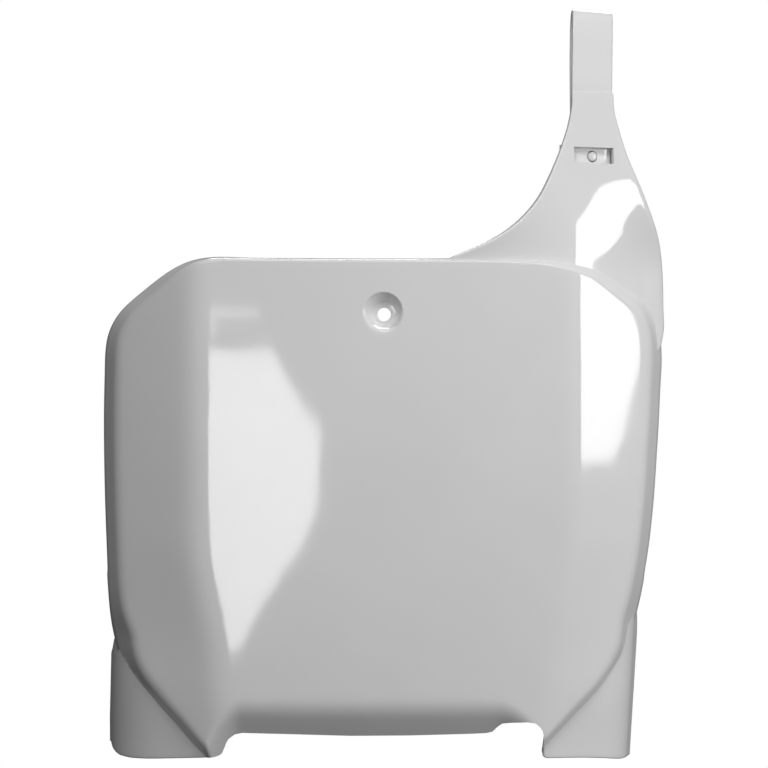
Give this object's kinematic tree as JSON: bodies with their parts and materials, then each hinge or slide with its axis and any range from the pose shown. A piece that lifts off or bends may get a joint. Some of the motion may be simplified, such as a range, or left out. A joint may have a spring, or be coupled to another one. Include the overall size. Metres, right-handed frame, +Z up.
{
  "type": "motorcycle front number plate",
  "caption": "Off-road motorcycle front number plate with a domed blank face, a recessed top bolt hole, two lower legs and a strap that loops over the handlebar brace.",
  "frame": {"origin": "middle of the top bolt hole, on the seat for the bolt head", "axes": "+Z up along the plate, +X to the right seen from the front, the face looks along -Y"},
  "size_m": [0.2707, 0.0684, 0.3528],
  "materials": {
    "plastic": "gloss"
  },
  "bodies": {
    "root": {"number_plate": "plastic"}
  },
  "joints": []
}
